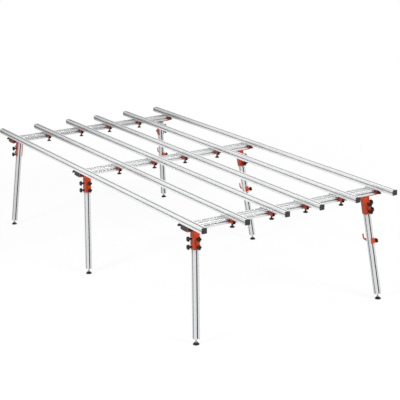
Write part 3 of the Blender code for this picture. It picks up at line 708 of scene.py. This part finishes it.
def channel(matrix, side_x, top_height):
    """A socket's bent channel in its leg's frame. Its section is an open U with rounded bends, carried from the lower
    edge to the level plate: a point's upper end is where its line along the leg meets the plate's underside, and its
    lower end rises by a quarter circle towards the open side."""
    inner = PROFILE / 2 + SOCKET_CLEARANCE
    outer = inner + SOCKET_WALL
    outside = rounded([(-inner, -outer), (outer, -outer), (outer, outer), (-inner, outer)],
                      np.array([SHEET_EDGE, SOCKET_BEND_OUTSIDE, SOCKET_BEND_OUTSIDE, SHEET_EDGE]), 6)
    inside = rounded([(-inner, inner), (inner, inner), (inner, -inner), (-inner, -inner)],
                     np.array([SHEET_EDGE, SOCKET_BEND_INSIDE, SOCKET_BEND_INSIDE, SHEET_EDGE]), 6)
    near_edge = -inner + SOCKET_CORNER * (1 - np.cos(np.linspace(0.15, 1.0, 5) * math.pi / 2))
    flange = np.column_stack([near_edge, np.full(5, 1.0)])
    front = flange * (1.0, -outer)
    back = flange[::-1] * (1.0, outer)
    inner_back = flange * (1.0, inner)
    inner_front = flange[::-1] * (1.0, -inner)
    points = np.concatenate([outside[:7], front, outside[7:21], back, outside[21:],
                             inside[:7], inner_back, inside[7:21], inner_front, inside[21:]])
    x, y = side_x * points[:, 0], points[:, 1]
    from_edge = np.clip(SOCKET_CORNER - (points[:, 0] + inner), 0.0, SOCKET_CORNER)
    lower = -SOCKET_HEIGHT + SOCKET_CORNER - np.sqrt(SOCKET_CORNER ** 2 - from_edge ** 2)
    rotation, origin = matrix[:3, :3], matrix[:3, 3]
    upper = (top_height - origin[2] - x * rotation[2, 0] - y * rotation[2, 1]) / rotation[2, 2]
    share = np.array([0.0, 0.004, 0.5, 1.0])[:, None]
    z = lower[None] + share * (upper - lower)[None]
    draw = np.array([0.0003, 0.0, 0.0, 0.0])[:, None]
    rings = np.stack([np.broadcast_to(x, z.shape), np.broadcast_to(y, z.shape), z + draw], -1)
    return placed(skin(rings), matrix)


def build_sockets():
    """The six leg sockets: channel, level plate, bolts, slot nuts, and two star knobs on each outer face."""
    plate_top = CROSSBEAM_BOTTOM - MEETING_GAP
    head, stud = star_knob(NUT_BOTTOM, PROFILE / 2 + SOCKET_CLEARANCE + SOCKET_WALL)
    long_nut = slot_nut(max(SOCKET_KNOB_DROPS) - min(SOCKET_KNOB_DROPS) + NUT_LENGTH, NUT_BOTTOM)
    centre_drop = sum(SOCKET_KNOB_DROPS) / 2
    washer = turned([(0.0040, -0.0048), (0.0068, -0.0048), (0.0070, -0.0046), (0.0070, -0.0040)], 36)
    bolt = [washer, hexagon(BOLT_HEAD_RADIUS, BOLT_HEAD_LOW, BOLT_HEAD_HIGH),
            turned([(STUD_RADIUS, -0.004), (STUD_RADIUS, 0.008)], 24),
            slot_nut(NUT_LENGTH, MEETING_GAP + SLOT_LIP + MEETING_GAP)]
    for number in CROSSBEAMS:
        for word, side_y in SIDES:
            name = f"leg_socket_{number}_{word}"
            matrix = leg_matrix(number, word, side_y)
            side_x = 1 if matrix[0, 2] < 0 else -1
            low, high = sorted((-side_y * PLATE_INBOARD, side_y * PLATE_OUTBOARD))
            plate = slab(rectangle((-CROSSBEAM_WIDTH / 2, low), (CROSSBEAM_WIDTH / 2, high)), -SOCKET_PLATE, 0.0,
                         0.0006, PLATE_CORNER, 6)
            to_plate = shifted(CROSSBEAM_X[number], side_y * SOCKET_Y, plate_top)
            steel = [channel(matrix, side_x, plate_top - SOCKET_PLATE / 2), placed(plate, to_plate)]
            piece(f"{name}_channel", steel, ORANGE_PAINT, "frame", [name])
            heads, studs = [], []
            for direction in ((side_x, 0, 0), (0, side_y, 0)):
                for drop in SOCKET_KNOB_DROPS:
                    to_knob = matrix @ shifted(0.0, 0.0, -drop) @ aimed(direction)
                    heads.append(placed(head, to_knob))
                    studs.append(placed(stud, to_knob))
                studs.append(placed(long_nut, matrix @ shifted(0.0, 0.0, -centre_drop) @ aimed(direction)))
            piece(f"{name}_knobs", heads, BLACK_PLASTIC, "frame")
            for side, outward in ((-1, BOLT_INBOARD), (1, BOLT_OUTBOARD)):
                studs += all_placed(bolt, to_plate @ shifted(side * CROSSBEAM_WIDTH / 4, side * side_y * outward, 0.0))
            piece(f"{name}_fasteners", studs, ZINC_STEEL, "frame")


def build_legs():
    """The six legs, and the levelling feet with their studs, balls and hexagons."""
    profile = profile_outline(PROFILE, PROFILE, (0.0,))
    pad = turned([
        (0.0150, -0.0120), (0.0196, -0.0120), (0.0203, -0.0115), (PAD_RADIUS, -0.0105), (PAD_RADIUS, -0.0086),
        (0.0199, -0.0076), (0.0182, -0.0062), (0.0158, -0.0038), (0.0138, -0.0012), (PAD_SHOULDER, 0.0),
        (0.0112, 0.0012), (0.0096, 0.0022), (0.0078, 0.0028), (0.0050, 0.0030),
    ])
    stud = [threaded(FOOT_STUD_RADIUS, 0.001, STUD_SHOWN + 0.004, FOOT_THREAD_PITCH),
            hexagon(HEX_RADIUS, HEX_LOW, HEX_HIGH),
            turned([(0.0030, -0.002), (0.0066, 0.0), (0.0072, 0.0022), (0.0066, 0.0042), (0.0050, 0.0052)], 36)]
    for number in CROSSBEAMS:
        for word, side_y in SIDES:
            name, foot = f"leg_{number}_{word}", f"foot_{number}_{word}"
            matrix = leg_matrix(number, word, side_y)
            span = (CROSSBEAM_BOTTOM - ANKLE_HEIGHT) / matrix[2, 2]
            leg = extruded(profile, PROFILE, (-(span - STUD_SHOWN), -LEG_TOP_GAP), LEG_FLOOR_SHADE, LEG_SLOT_SHARES)
            piece(f"{name}_profile", [placed(leg, matrix)], LEG_ALUMINIUM, name, [name])
            to_ankle = matrix @ shifted(0.0, 0.0, -span)
            to_pad = shifted(*to_ankle[:3, 3])
            piece(f"{foot}_pad", [placed(pad, to_pad)], BLACK_PLASTIC, foot, [foot])
            piece(f"{foot}_stud", all_placed(stud, to_ankle), ZINC_STEEL, foot)


def clamp_shapes(outer_rail):
    """One crossing's clamp about the rail's underside over the crossbeam's middle, as lists of orange, black and
    steel shapes."""
    edge, top, bottom = CROSSBEAM_WIDTH / 2, -MEETING_GAP, -CLAMP_BLOCK_HEIGHT
    half = CLAMP_BLOCK_WIDTH / 2
    strip_bottom = SLOT_LIP + MEETING_GAP
    stem_top = strip_bottom + NUT_THICKNESS
    reach = edge + JAW_REACH + NUT_WIDTH
    strip = slab(rectangle((-reach, -NUT_WIDTH / 2), (reach, NUT_WIDTH / 2)), strip_bottom, stem_top, 0.0004, 0.002)
    stem = turned([(STUD_RADIUS, top - 0.001), (STUD_RADIUS, stem_top)], 24)
    orange, black, steel = [], [], [strip]
    nose_middle = -PROFILE / 2 - MEETING_GAP
    nose_low, nose_high = nose_middle - CLAMP_NOSE_HEIGHT / 2, nose_middle + CLAMP_NOSE_HEIGHT / 2
    nose_end, beside = edge - CLAMP_NOSE, edge + MEETING_GAP
    far = edge + JAW_REACH + TEE_RADIUS / 2
    jaw = np.array([(nose_end, nose_low), (beside + JAW_THICKNESS, nose_low),
                    (beside + JAW_THICKNESS, top - JAW_THICKNESS), (far, top - JAW_THICKNESS),
                    (far, top), (beside, top), (beside, nose_high), (nose_end, nose_high)])
    radii = np.array([0.0008, 0.002, 0.0012, 0.0008, 0.0008, 0.003, 0.0006, 0.0008])
    tee_knob = hanging_head(TEE_RADIUS, TEE_FACE, TEE_NECK, TEE_NECK_RADIUS, top, STUD_RADIUS + 0.0003)
    for side in (-1, 1) if outer_rail else (-1,):
        shape = slab((jaw * (side, 1))[::side], -JAW_WIDTH / 2, JAW_WIDTH / 2, 0.0006, radii[::side])
        to_knob = shifted(side * (edge + JAW_REACH), 0.0, 0.0)
        black += [placed(shape, ACROSS_Y), placed(tee_knob, to_knob)]
        steel.append(placed(stem, to_knob))
    if outer_rail:
        start = edge + JAW_THICKNESS / 2
        block = slab(rectangle((start, bottom), (start + SIDE_BLOCK_LENGTH, top - JAW_THICKNESS / 2)), -half, half,
                     0.0012, 0.0024, 5)
        orange.append(placed(block, ACROSS_Y))
        return orange, black, steel
    start = edge + CLAMP_BLOCK_START
    end = start + CLAMP_BLOCK_LENGTH
    strap = [(-half, top), (-half, bottom), (half, bottom), (half, top), (half - CLAMP_WALL, top),
             (half - CLAMP_WALL, bottom + CLAMP_WALL), (-half + CLAMP_WALL, bottom + CLAMP_WALL),
             (-half + CLAMP_WALL, top)]
    radii = np.array([0.0004, 0.0040, 0.0040, 0.0004, 0.0004, 0.0015, 0.0015, 0.0004])
    orange.append(placed(slab(strap, start, end, 0.0004, radii, 5), ALONG_X))
    tongue = [(nose_end, nose_low), (start + CLAMP_WALL, nose_low), (end, top - CLAMP_TONGUE_ROOT),
              (end + CLAMP_TONGUE, top - CLAMP_TONGUE_TIP), (end + CLAMP_TONGUE, top), (start + CLAMP_WALL, top),
              (start + CLAMP_WALL, nose_high), (nose_end, nose_high)]
    radii = np.array([0.0008, 0.0010, 0.0060, 0.0030, 0.0012, 0.0008, 0.0006, 0.0008])
    half_tongue = half - CLAMP_WALL + 0.0004
    knob = hanging_head(KNOB_RADIUS, HANGING_FACE, HANGING_NECK, HANGING_NECK_RADIUS, bottom + 0.001,
                        HANGING_NECK_RADIUS - 0.0004)
    to_knob = shifted(edge + CLAMP_STUD_OFFSET, 0.0, 0.0)
    black += [placed(slab(tongue, -half_tongue, half_tongue, 0.0010, radii, 4), ACROSS_Y), placed(knob, to_knob)]
    steel.append(placed(stem, to_knob))
    return orange, black, steel


def build_clamps():
    """The eighteen rail clamps."""
    shapes = {outer: clamp_shapes(outer) for outer in (True, False)}
    for rail in RAILS:
        body = f"rail_{rail}"
        orange, black, steel = shapes[rail in OUTER_RAILS]
        for number in CROSSBEAMS:
            node = f"clamp_rail_{rail}_crossbeam_{number}"
            to_place = shifted(CROSSBEAM_X[number], RAIL_Y[rail], RAIL_BOTTOM)
            # Painted shade: the straps wear the darker clamp coat.
            piece(f"{node}_strap", all_placed(orange, to_place), SHADED_CLAMP_PAINT, body, [node])
            piece(f"{node}_jaws", all_placed(black, to_place), BLACK_PLASTIC, body)
            piece(f"{node}_steel", all_placed(steel, to_place), ZINC_STEEL, body)


def build_hooks():
    """The three hooks on the back legs, with their knobs and slot nuts."""
    inner = PROFILE / 2 + SOCKET_CLEARANCE
    outer = inner + HOOK_WALL
    front = outer - HOOK_TAB
    outline = [(-outer, front), (-inner, front), (-inner, inner), (inner, inner), (inner, front), (outer, front),
               (outer, outer), (-outer, outer)]
    radii = np.array([0.0004, 0.0004, 0.001, 0.001, 0.0004, 0.0004, 0.0040, 0.0040])
    bracket = slab(outline, -HOOK_HEIGHT / 2, HOOK_HEIGHT / 2, 0.0004, radii, 5)
    start, end, top = -(inner + HOOK_WALL / 2), -outer - HOOK_REACH, HOOK_ARM_RISE
    arm = [(start, top), (start, top - HOOK_ROOT), (end + HOOK_TIP, top - HOOK_TIP), (end, top - HOOK_TIP / 2),
           (end, top + HOOK_TURN), (end + HOOK_TIP, top + HOOK_TURN), (end + HOOK_TIP, top)]
    radii = np.array([0.0005, 0.003, 0.012, 0.006, 0.0050, 0.0050, 0.0040])
    plate = placed(slab(arm, -HOOK_PLATE / 2, HOOK_PLATE / 2, 0.0008, radii, 6), ACROSS_Y)
    plate = placed(plate, shifted(0.0, front + HOOK_TAB / 2, 0.0))
    nut = slot_nut(NUT_LENGTH, NUT_BOTTOM)
    head, stud = star_knob(NUT_BOTTOM, outer + MEETING_GAP)
    for number in CROSSBEAMS:
        name = f"hook_{number}"
        knob = f"{name}_knob"
        matrix = leg_matrix(number, "back", 1) @ shifted(0.0, 0.0, -HOOK_DROP)
        piece(f"{name}_bracket", all_placed([bracket, plate], matrix), ORANGE_PAINT, name, [name])
        to_knob = matrix @ shifted(0.0, 0.0, -HOOK_KNOB_DROP) @ aimed((0, 1, 0))
        piece(f"{name}_nut", [placed(nut, to_knob)], ZINC_STEEL, name, [f"{name}_slot_nut"])
        piece(f"{knob}_head", [placed(head, to_knob)], BLACK_PLASTIC, knob, [knob])
        piece(f"{knob}_stud", [placed(stud, to_knob)], ZINC_STEEL, knob)


# Studio

def seen_rays(tree):
    """1 for camera, glossy and transmission rays, and 0 for the rest: their three shares added and clamped."""
    rays = tree.nodes.new("ShaderNodeLightPath")
    total = rays.outputs["Is Camera Ray"]
    for name in ("Is Glossy Ray", "Is Transmission Ray"):
        added = tree.nodes.new("ShaderNodeMath")
        added.operation = "ADD"
        added.use_clamp = True
        tree.links.new(total, added.inputs[0])
        tree.links.new(rays.outputs[name], added.inputs[1])
        total = added.outputs[0]
    return total


def build_floor():
    """A wide white floor. To camera, glossy and transmission rays it glows white, by FLOOR_GLOW near the table so that
    the table's soft shadow stays, and wholly from FLOOR_FADE outwards."""
    made, tree, shader, add = node_tree("studio_floor")
    shader.inputs["Base Color"].default_value = (0.98, 0.98, 0.98, 1.0)
    shader.inputs["Roughness"].default_value = 0.9
    shader.inputs["Specular IOR Level"].default_value = 0.0
    glow = add("ShaderNodeEmission", {"Color": (1.0, 1.0, 1.0, 1.0), "Strength": 1.0})
    place = add("ShaderNodeTexCoord").outputs["Object"]
    distance = add("ShaderNodeVectorMath", {"operation": "LENGTH"}, Vector=place).outputs["Value"]
    fade = {"From Min": FLOOR_FADE[0], "From Max": FLOOR_FADE[1], "To Min": FLOOR_GLOW, "To Max": 1.0}
    share = add("ShaderNodeMapRange", fade, Value=distance).outputs["Result"]
    blend = add("ShaderNodeMixShader")
    tree.links.new(product(tree, add, seen_rays(tree), share), blend.inputs[0])
    tree.links.new(shader.outputs[0], blend.inputs[1])
    tree.links.new(glow.outputs[0], blend.inputs[2])
    tree.links.new(blend.outputs[0], tree.nodes["Material Output"].inputs["Surface"])
    corners = np.array(rectangle((-FLOOR_HALF_SIDE, -FLOOR_HALF_SIDE), (FLOOR_HALF_SIDE, FLOOR_HALF_SIDE)))
    mesh = bpy.data.meshes.new("studio_floor")
    mesh.from_pydata(np.column_stack([corners, np.zeros(4)]), [], [[0, 1, 2, 3]])
    mesh.materials.append(made)
    floor = bpy.data.objects.new("studio_floor", mesh)
    bpy.context.scene.collection.objects.link(floor)


def build_world():
    """A white world to camera, glossy and transmission rays, and a soft grey one to the rest."""
    world = bpy.data.worlds.new("studio")
    bpy.context.scene.world = world
    world.use_nodes = True
    tree = world.node_tree
    strength = tree.nodes.new("ShaderNodeMapRange")
    strength.inputs["To Min"].default_value = WORLD_LEVEL
    strength.inputs["To Max"].default_value = 1.0
    tree.links.new(seen_rays(tree), strength.inputs["Value"])
    background = tree.nodes["Background"]
    background.inputs["Color"].default_value = (1.0, 1.0, 1.0, 1.0)
    tree.links.new(strength.outputs["Result"], background.inputs["Strength"])


def build_lamp(name, place, size, power):
    """A square soft lamp that faces the middle of the table."""
    light = bpy.data.lights.new(name, "AREA")
    light.size = size
    light.energy = power
    lamp = bpy.data.objects.new(name, light)
    matrix = aimed(np.array(place) - np.array(CAMERA_TARGET), place)
    lamp.matrix_world = [list(row) for row in matrix.T]
    bpy.context.scene.collection.objects.link(lamp)


def build_camera():
    """The camera on a sphere round its target. It is rolled about its own axis, and its shift puts the photograph's
    principal point in the middle of the sensor."""
    back = np.array([math.sin(CAMERA_AZIMUTH) * math.cos(CAMERA_ELEVATION),
                     -math.cos(CAMERA_AZIMUTH) * math.cos(CAMERA_ELEVATION), math.sin(CAMERA_ELEVATION)])
    right = np.cross(-back, (0.0, 0.0, 1.0))
    right /= np.linalg.norm(right)
    up = np.cross(right, -back)
    cosine, sine = math.cos(CAMERA_ROLL), math.sin(CAMERA_ROLL)
    matrix = axes(cosine * right + sine * up, cosine * up - sine * right, back,
                  np.array(CAMERA_TARGET) + CAMERA_DISTANCE * back)
    data = bpy.data.cameras.new("photo_camera")
    data.lens = FOCAL_PIXELS / IMAGE_SIZE * data.sensor_width
    data.shift_x = (IMAGE_SIZE / 2 - IMAGE_CENTRE[0]) / IMAGE_SIZE
    data.shift_y = (IMAGE_CENTRE[1] - IMAGE_SIZE / 2) / IMAGE_SIZE
    camera = bpy.data.objects.new("photo_camera", data)
    camera.matrix_world = [list(row) for row in matrix.T]
    bpy.context.scene.collection.objects.link(camera)
    bpy.context.scene.camera = camera


build_rails()
build_crossbeams()
build_sockets()
build_legs()
build_clamps()
build_hooks()
build_floor()
build_world()
for lamp in LAMPS:
    build_lamp(*lamp)
build_camera()
bpy.context.scene.view_settings.view_transform = "Standard"
